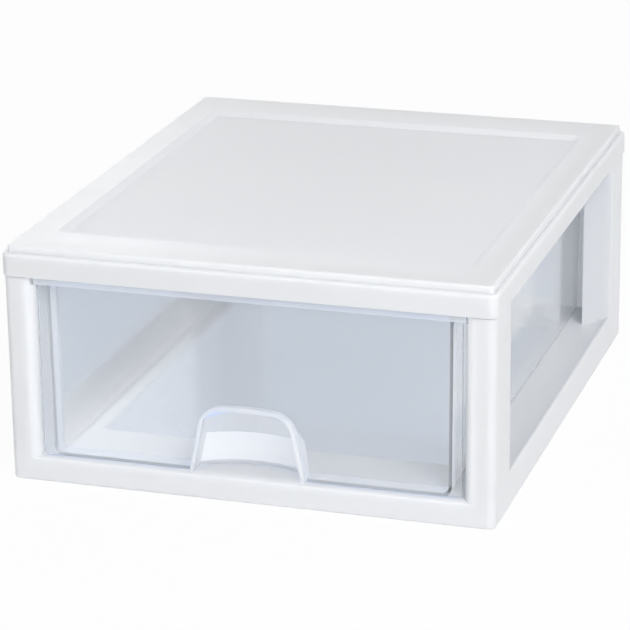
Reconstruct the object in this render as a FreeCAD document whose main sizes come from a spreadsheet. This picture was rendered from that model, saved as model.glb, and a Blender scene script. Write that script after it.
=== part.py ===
import FreeCAD, Part
import math
import os

import Sketcher

# Stackable drawer box: a white open frame with windows on three sides, a white top that
# clips on over the frame, and one clear drawer that slides out of the front.
# Millimetres. +Z is up, the front faces -Y, and the origin is the middle of the footprint
# on the surface that the box stands on.

# Driving sizes in millimetres. Heights are measured from the standing surface.
DRIVING_SIZES = {
    # whole box
    "case_width": 365.0,
    "case_depth": 432.0,
    "case_height": 178.0,
    # clip-on top
    "skirt_wall": 2.2,
    "skirt_height": 16.9,
    "plateau_height": 5.4,
    "plateau_inset": 3.8,
    "skirt_corner_radius": 7.0,
    "top_wall": 2.5,
    "side_border": 26.6,
    "end_border": 43.4,
    "recess_depth": 3.5,
    "recess_slope": 5.5,
    "recess_corner_radius": 6.0,
    "plateau_edge_radius": 1.6,
    "skirt_edge_radius": 2.2,
    "snap_length": 30.0,
    "snap_height": 2.0,
    "snap_depth": 0.8,
    "snap_spacing": 200.0,
    "snap_rise": 5.5,
    # frame
    "frame_inset": 1.2,
    "frame_wall": 2.2,
    "top_clearance": 0.2,
    "seam_gap": 0.6,
    "rim_flange_width": 14.0,
    "runner_height": 19.0,
    "side_runner_width": 47.3,
    "end_runner_width": 60.8,
    "stile_width": 43.8,
    "side_sill_height": 27.0,
    "sill_slope_width": 19.3,
    "window_head_gap": 1.3,
    "jamb_depth": 23.1,
    "front_post_width": 22.5,
    "bevel_width": 7.2,
    "bevel_depth": 7.8,
    "bevel_drop": 2.7,
    "rear_post_width": 52.8,
    "rear_sill_height": 24.0,
    "notch_width": 2.5,
    "foot_edge_radius": 0.8,
    # drawer
    "drawer_wall": 2.2,
    "running_clearance": 0.3,
    "front_setback": 4.2,
    "front_side_gap": 1.8,
    "front_bottom_gap": 1.2,
    "front_top_gap": 0.7,
    "front_corner_radius": 3.0,
    "strip_height": 5.0,
    "strip_proud": 1.2,
    "strip_end_radius": 2.0,
    "tub_top_gap": 2.0,
    "tub_rim_width": 7.1,
    "rear_rim_width": 2.4,
    "tub_rim_height": 2.2,
    "guide_clearance": 1.1,
    "tub_side_draft": 1.0,
    "tub_rear_draft": 4.0,
    "tub_rear_gap": 7.6,
    "rear_stop_clearance": 0.4,
    "tub_corner_extra": 1.0,
    "tub_bottom_radius": 7.0,
    "drawer_travel": 320.0,
    "stop_length": 14.0,
    "stop_overlap": 2.6,
    "stop_clearance": 0.3,
    # pull arch and finger space
    "arch_foot_width": 87.0,
    "arch_height": 51.8,
    "arch_lean": 11.1,
    "arch_shoulder_radius": 18.0,
    "arch_crown_radius": 250.0,
    "arch_bead": 3.0,
    "arch_proud": 5.1,
    "arch_edge_radius": 1.2,
    "alcove_depth": 22.6,
    "alcove_radius": 72.6,
    "alcove_crease_height": 23.7,
    "alcove_ceiling_run": 25.0,
    "alcove_ceiling_rise": 25.5,
    # one overrun for every cut
    "cut_overrun": 6.0,
}

doc = FreeCAD.newDocument("stackable_drawer_box")
sheet = doc.addObject("Spreadsheet::Sheet", "Sizes")
for row, (alias, number) in enumerate(DRIVING_SIZES.items(), start=1):
    sheet.set(f"A{row}", alias)
    sheet.set(f"B{row}", str(number))
    sheet.setAlias(f"B{row}", alias)
doc.recompute()


class Size:
    """A length that carries its number and the sheet expression it comes from."""

    def __init__(self, number, text):
        self.number = number
        self.text = text

    def __add__(self, other):
        other = as_size(other)
        return Size(self.number + other.number, f"({self.text} + {other.text})")

    def __sub__(self, other):
        other = as_size(other)
        return Size(self.number - other.number, f"({self.text} - {other.text})")

    def __mul__(self, count):
        return Size(self.number * count, f"({self.text} * {count})")

    def __truediv__(self, count):
        return Size(self.number / count, f"({self.text} / {count})")

    def __neg__(self):
        return Size(-self.number, f"(0 - {self.text})")


def as_size(value):
    """Take a Size as it is, and zero as a Size."""
    return value if isinstance(value, Size) else Size(value, str(value))


def size(alias):
    """Read one driving size from the sheet."""
    return Size(float(getattr(sheet, alias)), f"Sizes.{alias}")


ZERO = Size(0.0, "0")


# Sketch and feature helpers

def origin_plane(body, role):
    """Find one of a body's own origin planes by its role."""
    for feature in body.Origin.OriginFeatures:
        if feature.Role == role:
            return feature
    raise ValueError(f"{body.Label} has no {role}")


def new_body(label):
    """Start an empty body under its own label."""
    body = doc.addObject("PartDesign::Body", label)
    body.Label = label
    return body


def new_sketch(body, name, role, offset):
    """Lay a sketch on an origin plane, moved along the plane's normal by offset."""
    sketch = body.newObject("Sketcher::SketchObject", name)
    sketch.AttachmentSupport = [(origin_plane(body, role), "")]
    sketch.MapMode = "FlatFace"
    sketch.setExpression("AttachmentOffset.Base.z", offset.text)
    return sketch


def level_sketch(body, name, height):
    """A sketch seen from above, at a height."""
    return new_sketch(body, name, "XY_Plane", height)


def front_sketch(body, name, depth):
    """A sketch seen from the front, at a place along Y. Its plane faces -Y."""
    return new_sketch(body, name, "XZ_Plane", -depth)


def side_sketch(body, name, across):
    """A sketch seen from the right side, at a place along X."""
    return new_sketch(body, name, "YZ_Plane", across)


def bind(sketch, kind, references, length):
    """Add one dimension to a sketch and tie it to the sheet."""
    index = sketch.addConstraint(Sketcher.Constraint(kind, *references, length.number))
    sketch.setExpression(f"Constraints[{index}]", length.text)


def place_point(sketch, line, end, x, y):
    """Tie one end of a line to a place measured from the sketch's origin."""
    bind(sketch, "DistanceX", (-1, 1, line, end), x)
    bind(sketch, "DistanceY", (-1, 1, line, end), y)


def add_polygon(sketch, points):
    """Draw a closed outline of straight lines whose corners are all tied to the sheet."""
    first = sketch.GeometryCount
    count = len(points)
    for index, (x, y) in enumerate(points):
        next_x, next_y = points[(index + 1) % count]
        start = FreeCAD.Vector(x.number, y.number, 0)
        finish = FreeCAD.Vector(next_x.number, next_y.number, 0)
        sketch.addGeometry(Part.LineSegment(start, finish), False)
    for index in range(count):
        following = first + (index + 1) % count
        sketch.addConstraint(Sketcher.Constraint("Coincident", first + index, 2, following, 1))
    for index, (x, y) in enumerate(points):
        place_point(sketch, first + index, 1, x, y)


def add_rectangle(sketch, low_x, high_x, low_y, high_y):
    """Draw a rectangle between two pairs of bounds."""
    add_polygon(sketch, [(low_x, low_y), (high_x, low_y), (high_x, high_y), (low_x, high_y)])


def add_rounded(sketch, low_x, high_x, low_y, high_y, radius):
    """Draw a rectangle with round corners between two pairs of bounds."""
    first = sketch.GeometryCount
    left, right = low_x.number, high_x.number
    bottom, top = low_y.number, high_y.number
    bend = radius.number
    sides = [
        ((left + bend, bottom), (right - bend, bottom)),
        ((right, bottom + bend), (right, top - bend)),
        ((right - bend, top), (left + bend, top)),
        ((left, top - bend), (left, bottom + bend)),
    ]
    for start, finish in sides:
        line = Part.LineSegment(FreeCAD.Vector(*start, 0), FreeCAD.Vector(*finish, 0))
        sketch.addGeometry(line, False)
    centres = [
        (right - bend, bottom + bend),
        (right - bend, top - bend),
        (left + bend, top - bend),
        (left + bend, bottom + bend),
    ]
    quarter = math.pi / 2
    for index, centre in enumerate(centres):
        circle = Part.Circle(FreeCAD.Vector(*centre, 0), FreeCAD.Vector(0, 0, 1), bend)
        begin = (index - 1) * quarter
        sketch.addGeometry(Part.ArcOfCircle(circle, begin, begin + quarter), False)
    for index in range(4):
        line = first + index
        arc = first + 4 + index
        following = first + (index + 1) % 4
        sketch.addConstraint(Sketcher.Constraint("Tangent", line, 2, arc, 1))
        sketch.addConstraint(Sketcher.Constraint("Tangent", arc, 2, following, 1))
    for index, kind in enumerate(("Horizontal", "Vertical", "Horizontal", "Vertical")):
        sketch.addConstraint(Sketcher.Constraint(kind, first + index))
    for index in range(1, 4):
        sketch.addConstraint(Sketcher.Constraint("Equal", first + 4, first + 4 + index))
    bind(sketch, "Radius", (first + 4,), radius)
    bind(sketch, "DistanceY", (-1, 1, first, 1), low_y)
    bind(sketch, "DistanceX", (-1, 1, first + 1, 1), high_x)
    bind(sketch, "DistanceY", (-1, 1, first + 2, 1), high_y)
    bind(sketch, "DistanceX", (-1, 1, first + 3, 1), low_x)


def add_arch(sketch, foot_half, foot_level, lean, shoulder, crown, top_level):
    """Draw the pull's outline: two leaning sides, round shoulders and a crowned top."""
    angle = math.radians(lean.number)
    bend = shoulder.number
    crown_centre = top_level.number - crown.number
    # The shoulder's centre lies one radius inside the side and inside the crown.
    base_x = foot_half.number - bend * math.cos(angle)
    base_y = foot_level.number - bend * math.sin(angle) - crown_centre
    slope_x, slope_y = -math.sin(angle), math.cos(angle)
    reach = crown.number - bend
    along = base_x * slope_x + base_y * slope_y
    rest = base_x ** 2 + base_y ** 2 - reach ** 2
    run = -along + math.sqrt(along ** 2 - rest)
    centre_x = base_x + run * slope_x
    centre_y = base_y + run * slope_y + crown_centre
    side_x = centre_x + bend * math.cos(angle)
    side_y = centre_y + bend * math.sin(angle)
    meet = math.atan2(centre_y - crown_centre, centre_x)
    up = FreeCAD.Vector(0, 0, 1)

    def line(start, finish):
        start_point = FreeCAD.Vector(start[0], start[1], 0)
        finish_point = FreeCAD.Vector(finish[0], finish[1], 0)
        return sketch.addGeometry(Part.LineSegment(start_point, finish_point), False)

    def arc(centre, radius, begin, finish):
        circle = Part.Circle(FreeCAD.Vector(centre[0], centre[1], 0), up, radius)
        return sketch.addGeometry(Part.ArcOfCircle(circle, begin, finish), False)

    foot_right = (foot_half.number, foot_level.number)
    foot_left = (-foot_half.number, foot_level.number)
    base = line(foot_left, foot_right)
    right_side = line(foot_right, (side_x, side_y))
    right_bend = arc((centre_x, centre_y), bend, angle, meet)
    top = arc((0, crown_centre), crown.number, meet, math.pi - meet)
    left_bend = arc((-centre_x, centre_y), bend, math.pi - meet, math.pi - angle)
    left_side = line((-side_x, side_y), foot_left)
    join = Sketcher.Constraint
    sketch.addConstraint(join("Coincident", base, 2, right_side, 1))
    sketch.addConstraint(join("Tangent", right_side, 2, right_bend, 1))
    sketch.addConstraint(join("Tangent", right_bend, 2, top, 1))
    sketch.addConstraint(join("Tangent", top, 2, left_bend, 1))
    sketch.addConstraint(join("Tangent", left_bend, 2, left_side, 1))
    sketch.addConstraint(join("Coincident", left_side, 2, base, 1))
    place_point(sketch, base, 1, -foot_half, foot_level)
    place_point(sketch, base, 2, foot_half, foot_level)
    bind(sketch, "Radius", (right_bend,), shoulder)
    sketch.addConstraint(join("Equal", right_bend, left_bend))
    bind(sketch, "Radius", (top,), crown)
    bind(sketch, "DistanceX", (-1, 1, top, 3), ZERO)
    bind(sketch, "DistanceY", (-1, 1, top, 3), top_level - crown)


def pad(body, name, sketch, length, backwards=False):
    """Add material from a sketch along its normal, or against it."""
    feature = body.newObject("PartDesign::Pad", name)
    feature.Profile = sketch
    feature.Reversed = backwards
    feature.setExpression("Length", length.text)
    sketch.Visibility = False
    return feature


def pocket(body, name, sketch, length):
    """Take material away from a sketch against its normal, and check that some went."""
    doc.recompute()
    before = body.Shape.Volume
    feature = body.newObject("PartDesign::Pocket", name)
    feature.Profile = sketch
    feature.setExpression("Length", length.text)
    doc.recompute()
    if not feature.Shape.Volume < before:
        raise ValueError(f"{name} cuts nothing")
    return feature


def pocket_across(body, name, sketch):
    """Cut right through the body on both sides of a sketch."""
    doc.recompute()
    before = body.Shape.Volume
    feature = body.newObject("PartDesign::Pocket", name)
    feature.Profile = sketch
    feature.Type = "ThroughAll"
    feature.Midplane = True
    doc.recompute()
    if not feature.Shape.Volume < before:
        raise ValueError(f"{name} cuts nothing")
    return feature


def loft(body, name, kind, sections):
    """Join a row of sketches, adding or taking material."""
    feature = body.newObject(f"PartDesign::{kind}Loft", name)
    feature.Profile = sections[0]
    feature.Sections = sections[1:]
    feature.Ruled = True
    return feature


def edge_names(shape, wanted):
    """Name the edges whose middle point and box pass a test."""
    names = []
    for index, edge in enumerate(shape.Edges, start=1):
        middle = edge.valueAt((edge.FirstParameter + edge.LastParameter) / 2)
        if wanted(edge, middle):
            names.append(f"Edge{index}")
    return names


def round_edges(body, name, radius, wanted):
    """Round the edges of the body's last feature that pass a test."""
    doc.recompute()
    base = body.Tip
    names = edge_names(base.Shape, wanted)
    if not names:
        raise ValueError(f"{name} found no edge")
    feature = body.newObject("PartDesign::Fillet", name)
    feature.Base = (base, names)
    feature.setExpression("Radius", radius.text)
    doc.recompute()
    return feature


def hollow(body, name, wall, open_face):
    """Turn the body into a shell of one wall thickness, open at the faces that pass a test."""
    doc.recompute()
    base = body.Tip
    names = []
    for index, face in enumerate(base.Shape.Faces, start=1):
        if open_face(face, face.CenterOfMass):
            names.append(f"Face{index}")
    feature = body.newObject("PartDesign::Thickness", name)
    feature.Base = (base, names)
    feature.Reversed = True
    feature.setExpression("Value", wall.text)
    doc.recompute()
    return feature


def near(value, target):
    """Whether two numbers are the same place on the model."""
    return math.isclose(value, target, abs_tol=NEAR)


NEAR = 1e-4 * DRIVING_SIZES["case_width"]
BEVEL_STEPS = 6

# Places that several pieces share
case_half_x = size("case_width") / 2
case_half_y = size("case_depth") / 2
ledge_level = size("case_height") - size("plateau_height")
skirt_bottom = ledge_level - size("skirt_height")
frame_half_x = case_half_x - size("frame_inset")
frame_half_y = case_half_y - size("frame_inset")
wall_half_x = frame_half_x - size("frame_wall")
wall_half_y = frame_half_y - size("frame_wall")
rim_half_x = case_half_x - size("skirt_wall") - size("top_clearance")
rim_half_y = case_half_y - size("skirt_wall") - size("top_clearance")
shoulder_level = skirt_bottom - size("seam_gap")
frame_top = ledge_level - size("top_wall")
runner_level = size("runner_height")
opening_half_x = frame_half_x - size("front_post_width")
guide_half_x = frame_half_x - size("jamb_depth")
jamb_y = frame_half_y - size("stile_width")
throat_y = -frame_half_y + size("bevel_depth")
snap_level = skirt_bottom + size("snap_rise")


def make_top():
    """The white top: a skirt round the frame, a raised border and a sunk middle panel."""
    body = new_body("top_panel")
    plateau_x = case_half_x - size("plateau_inset")
    plateau_y = case_half_y - size("plateau_inset")
    corner = size("skirt_corner_radius")
    plateau_corner = corner - size("plateau_inset")
    top_level = size("case_height")

    skirt = level_sketch(body, "skirt_outline", skirt_bottom)
    add_rounded(skirt, -case_half_x, case_half_x, -case_half_y, case_half_y, corner)
    pad(body, "skirt_block", skirt, size("skirt_height"))
    plateau = level_sketch(body, "plateau_outline", ledge_level)
    add_rounded(plateau, -plateau_x, plateau_x, -plateau_y, plateau_y, plateau_corner)
    pad(body, "plateau_block", plateau, size("plateau_height"))

    # The sunk panel's walls slope in on all four sides.
    recess_x = case_half_x - size("side_border")
    recess_y = case_half_y - size("end_border")
    floor_x = recess_x - size("recess_slope")
    floor_y = recess_y - size("recess_slope")
    recess_level = top_level - size("recess_depth")
    bend = size("recess_corner_radius")
    floor_bend = bend - size("recess_slope") / 2
    mouth = level_sketch(body, "recess_mouth", top_level)
    add_rounded(mouth, -recess_x, recess_x, -recess_y, recess_y, bend)
    sunk = level_sketch(body, "recess_floor", recess_level)
    add_rounded(sunk, -floor_x, floor_x, -floor_y, floor_y, floor_bend)
    loft(body, "recess", "Subtractive", [mouth, sunk])

    # The underside follows the steps above it at one wall thickness.
    wall = size("top_wall")
    inside_x = case_half_x - size("skirt_wall")
    inside_y = case_half_y - size("skirt_wall")
    inside_corner = corner - size("skirt_wall")
    inside = level_sketch(body, "skirt_inside", frame_top)
    add_rounded(inside, -inside_x, inside_x, -inside_y, inside_y, inside_corner)
    pocket(body, "skirt_hollow", inside, frame_top - skirt_bottom)
    under_level = recess_level - wall
    under_x = plateau_x - wall
    under_y = plateau_y - wall
    under_corner = plateau_corner - wall
    under = level_sketch(body, "panel_underside", under_level)
    add_rounded(under, -under_x, under_x, -under_y, under_y, under_corner)
    pocket(body, "panel_hollow", under, under_level - frame_top)
    border = level_sketch(body, "border_underside", top_level - wall)
    add_rounded(border, -under_x, under_x, -under_y, under_y, under_corner)
    add_rounded(border, -recess_x - wall, recess_x + wall, -recess_y - wall, recess_y + wall, bend)
    pocket(body, "border_hollow", border, top_level - wall - under_level)

    # Four snap ridges inside the skirt hold the top to the frame's rim.
    ridge = level_sketch(body, "snap_ridges", snap_level)
    for side in (-1, 1):
        for end in (-1, 1):
            middle = size("snap_spacing") / 2 * end
            outer = inside_x * side
            inner = (inside_x - size("snap_depth")) * side
            low = middle - size("snap_length") / 2
            high = middle + size("snap_length") / 2
            left, right = (inner, outer) if side > 0 else (outer, inner)
            add_rectangle(ridge, left, right, low, high)
    pad(body, "snap_ridge_blocks", ridge, size("snap_height"))

    round_edges(body, "plateau_edge", size("plateau_edge_radius"),
                lambda edge, middle: near(middle.z, top_level.number)
                and near(edge.BoundBox.ZLength, 0)
                and (abs(middle.x) > recess_x.number + wall.number
                     or abs(middle.y) > recess_y.number + wall.number))
    round_edges(body, "skirt_edge", size("skirt_edge_radius"),
                lambda edge, middle: near(middle.z, ledge_level.number)
                and near(edge.BoundBox.ZLength, 0)
                and (abs(middle.x) > plateau_x.number + NEAR
                     or abs(middle.y) > plateau_y.number + NEAR))
    return body


def make_frame():
    """The white frame: an outer wall with windows, a runner ledge and a rim for the top."""
    body = new_body("frame")
    corner = size("skirt_corner_radius") - size("frame_inset")
    rim_corner = size("skirt_corner_radius") - size("skirt_wall") - size("top_clearance")
    wall = size("frame_wall")
    overrun = size("cut_overrun")

    outer = level_sketch(body, "outer_outline", ZERO)
    add_rounded(outer, -frame_half_x, frame_half_x, -frame_half_y, frame_half_y, corner)
    pad(body, "outer_block", outer, shoulder_level)
    rim = level_sketch(body, "rim_outline", shoulder_level)
    add_rounded(rim, -rim_half_x, rim_half_x, -rim_half_y, rim_half_y, rim_corner)
    pad(body, "rim_block", rim, frame_top - shoulder_level)

    # Hollow from the top: the rim flange's mouth, the rim and the main wall.
    flange_x = rim_half_x - size("rim_flange_width")
    flange_y = rim_half_y - size("rim_flange_width")
    mouth = level_sketch(body, "rim_mouth", frame_top)
    add_rectangle(mouth, -flange_x, flange_x, -flange_y, flange_y)
    pocket(body, "rim_opening", mouth, frame_top - runner_level)
    rim_inside_x = rim_half_x - wall
    rim_inside_y = rim_half_y - wall
    rim_inside = level_sketch(body, "rim_inside", frame_top - wall)
    add_rounded(rim_inside, -rim_inside_x, rim_inside_x, -rim_inside_y, rim_inside_y,
                rim_corner - wall)
    pocket(body, "rim_hollow", rim_inside, frame_top - wall - runner_level)
    wall_inside = level_sketch(body, "wall_inside", shoulder_level - wall)
    add_rounded(wall_inside, -wall_half_x, wall_half_x, -wall_half_y, wall_half_y, corner - wall)
    pocket(body, "wall_hollow", wall_inside, shoulder_level - wall - runner_level)

    # Hollow below the runner ledge, where the top of the box underneath reaches in.
    under = level_sketch(body, "under_inside", runner_level - wall)
    add_rounded(under, -wall_half_x, wall_half_x, -wall_half_y, wall_half_y, corner - wall)
    pocket(body, "under_hollow", under, runner_level - wall)
    hole_x = frame_half_x - size("side_runner_width")
    hole_y = frame_half_y - size("end_runner_width")
    hole = level_sketch(body, "bottom_opening_outline", runner_level)
    add_rectangle(hole, -hole_x, hole_x, -hole_y, hole_y)
    pocket(body, "bottom_opening", hole, wall)

    # Windows in both sides and the back. Their top edge hides behind the skirt.
    head_level = skirt_bottom + size("window_head_gap")
    side_window = side_sketch(body, "side_window_outline", ZERO)
    add_rectangle(side_window, -jamb_y, jamb_y, size("side_sill_height"), head_level)
    pocket_across(body, "side_windows", side_window)
    rear_x = frame_half_x - size("rear_post_width")
    rear_window = front_sketch(body, "rear_window_outline", wall_half_y - overrun)
    add_rectangle(rear_window, -rear_x, rear_x, size("rear_sill_height"), head_level)
    pocket(body, "rear_window", rear_window, wall + overrun * 2)

    # The front surround, bevelled towards the drawer on three sides.
    surround_x = opening_half_x + size("bevel_width") + wall
    surround_low = runner_level - size("bevel_drop") - wall
    surround = front_sketch(body, "front_surround_outline", -frame_half_y)
    add_rectangle(surround, -surround_x, surround_x, surround_low, shoulder_level)
    pad(body, "front_surround", surround, size("bevel_depth"), backwards=True)
    # The bevel is a quarter of an ellipse, cut through a row of ever smaller openings.
    openings = []
    for step in range(BEVEL_STEPS + 1):
        turn = math.pi / 2 * step / BEVEL_STEPS
        widen_share = 1 - math.sin(turn)
        depth_share = 1 - math.cos(turn)
        cut_x = opening_half_x + size("bevel_width") * widen_share
        cut_low = runner_level - size("bevel_drop") * widen_share
        place = -frame_half_y + size("bevel_depth") * depth_share
        ring = front_sketch(body, f"bevel_opening_{step}", place)
        add_rectangle(ring, -cut_x, cut_x, cut_low, skirt_bottom)
        openings.append(ring)
    loft(body, "front_bevel", "Subtractive", openings)
    # The ends of the drawer's strip close into a notch at the top of each post.
    notch_x = opening_half_x + size("notch_width")
    notch_height = size("front_top_gap") + size("strip_height") + size("running_clearance")
    notch = front_sketch(body, "strip_notch_outline", -frame_half_y)
    add_rectangle(notch, -notch_x, notch_x, skirt_bottom - notch_height, skirt_bottom)
    pocket(body, "strip_notch", notch, size("bevel_depth"))

    # Post insides, window jambs that guide the drawer, and the returns beside the rear window.
    posts = level_sketch(body, "post_sections", runner_level)
    for side in (-1, 1):
        def across(low, high):
            return (low, high) if side > 0 else (-high, -low)
        post_low, post_high = across(opening_half_x, opening_half_x + wall)
        add_rectangle(posts, post_low, post_high, throat_y, -jamb_y - wall)
    pad(body, "post_inside_walls", posts, shoulder_level - runner_level)
    jambs = level_sketch(body, "jamb_sections", runner_level)
    for side in (-1, 1):
        for end in (-1, 1):
            inner, outer_face = guide_half_x, wall_half_x + wall / 2
            low, high = (inner, outer_face) if side > 0 else (-outer_face, -inner)
            near_y, far_y = (jamb_y, jamb_y + wall) if end > 0 else (-jamb_y - wall, -jamb_y)
            add_rectangle(jambs, low, high, near_y, far_y)
    pad(body, "window_jambs", jambs, shoulder_level - runner_level)
    jamb_tops = level_sketch(body, "jamb_top_sections", shoulder_level)
    for side in (-1, 1):
        for end in (-1, 1):
            inner, outer_face = guide_half_x, rim_inside_x + wall / 2
            low, high = (inner, outer_face) if side > 0 else (-outer_face, -inner)
            near_y, far_y = (jamb_y, jamb_y + wall) if end > 0 else (-jamb_y - wall, -jamb_y)
            add_rectangle(jamb_tops, low, high, near_y, far_y)
    pad(body, "window_jamb_tops", jamb_tops, frame_top - wall / 2 - shoulder_level)
    stop_y = rear_stop_y()
    returns = level_sketch(body, "rear_return_sections", runner_level)
    for side in (-1, 1):
        low, high = (rear_x, rear_x + wall) if side > 0 else (-rear_x - wall, -rear_x)
        add_rectangle(returns, low, high, stop_y, wall_half_y + wall / 2)
    pad(body, "rear_returns", returns, shoulder_level - runner_level)

    # The window sills slope down from the outer wall to the runner ledge.
    slope_foot = frame_half_x - size("sill_slope_width")
    sills = front_sketch(body, "sill_sections", -jamb_y)
    for side in (-1, 1):
        add_polygon(sills, [
            (slope_foot * side, runner_level),
            (frame_half_x * side, runner_level),
            (frame_half_x * side, size("side_sill_height")),
        ][::side])
    pad(body, "window_sills", sills, jamb_y * 2, backwards=True)
    drop = wall * (1 / math.cos(math.atan2(
        (size("side_sill_height") - runner_level).number, size("sill_slope_width").number)))
    rise_share = ((size("side_sill_height") - runner_level).number
                  / size("sill_slope_width").number)
    under_level = runner_level - wall
    foot_shift = (drop - wall) * (1 / rise_share)
    tip_level = size("side_sill_height") - drop - wall * rise_share
    hollows = front_sketch(body, "sill_hollow_sections", -jamb_y)
    for side in (-1, 1):
        add_polygon(hollows, [
            ((slope_foot + foot_shift) * side, under_level),
            (wall_half_x * side, under_level),
            (wall_half_x * side, tip_level),
        ][::side])
    pocket(body, "sill_hollows", hollows, jamb_y * 2)

    # Grooves in the rim that the top's snap ridges sit in.
    clearance = size("top_clearance")
    groove = level_sketch(body, "snap_grooves", snap_level + size("snap_height") + clearance)
    for side in (-1, 1):
        for end in (-1, 1):
            middle = size("snap_spacing") / 2 * end
            inner = rim_half_x - size("snap_depth")
            outer_face = rim_half_x + overrun
            left, right = (inner, outer_face) if side > 0 else (-outer_face, -inner)
            low = middle - size("snap_length") / 2 - clearance
            high = middle + size("snap_length") / 2 + clearance
            add_rectangle(groove, left, right, low, high)
    pocket(body, "snap_groove_cuts", groove, size("snap_height") + clearance * 2)

    # Soften the foot all round.
    round_edges(body, "foot_edge", size("foot_edge_radius"),
                lambda edge, middle: near(middle.z, 0) and near(edge.BoundBox.ZLength, 0)
                and (abs(middle.x) > wall_half_x.number + NEAR
                     or abs(middle.y) > wall_half_y.number + NEAR
                     or math.hypot(abs(middle.x) - frame_half_x.number + corner.number,
                                   abs(middle.y) - frame_half_y.number + corner.number)
                     > corner.number - wall.number / 2))
    return body


def tub_rear_y():
    """The outside of the drawer's back wall at its top."""
    return wall_half_y - size("tub_rear_gap")


def rear_stop_y():
    """Where the returns beside the rear window stop the closed drawer."""
    return tub_rear_y() + size("rear_rim_width") + size("rear_stop_clearance")


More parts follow.
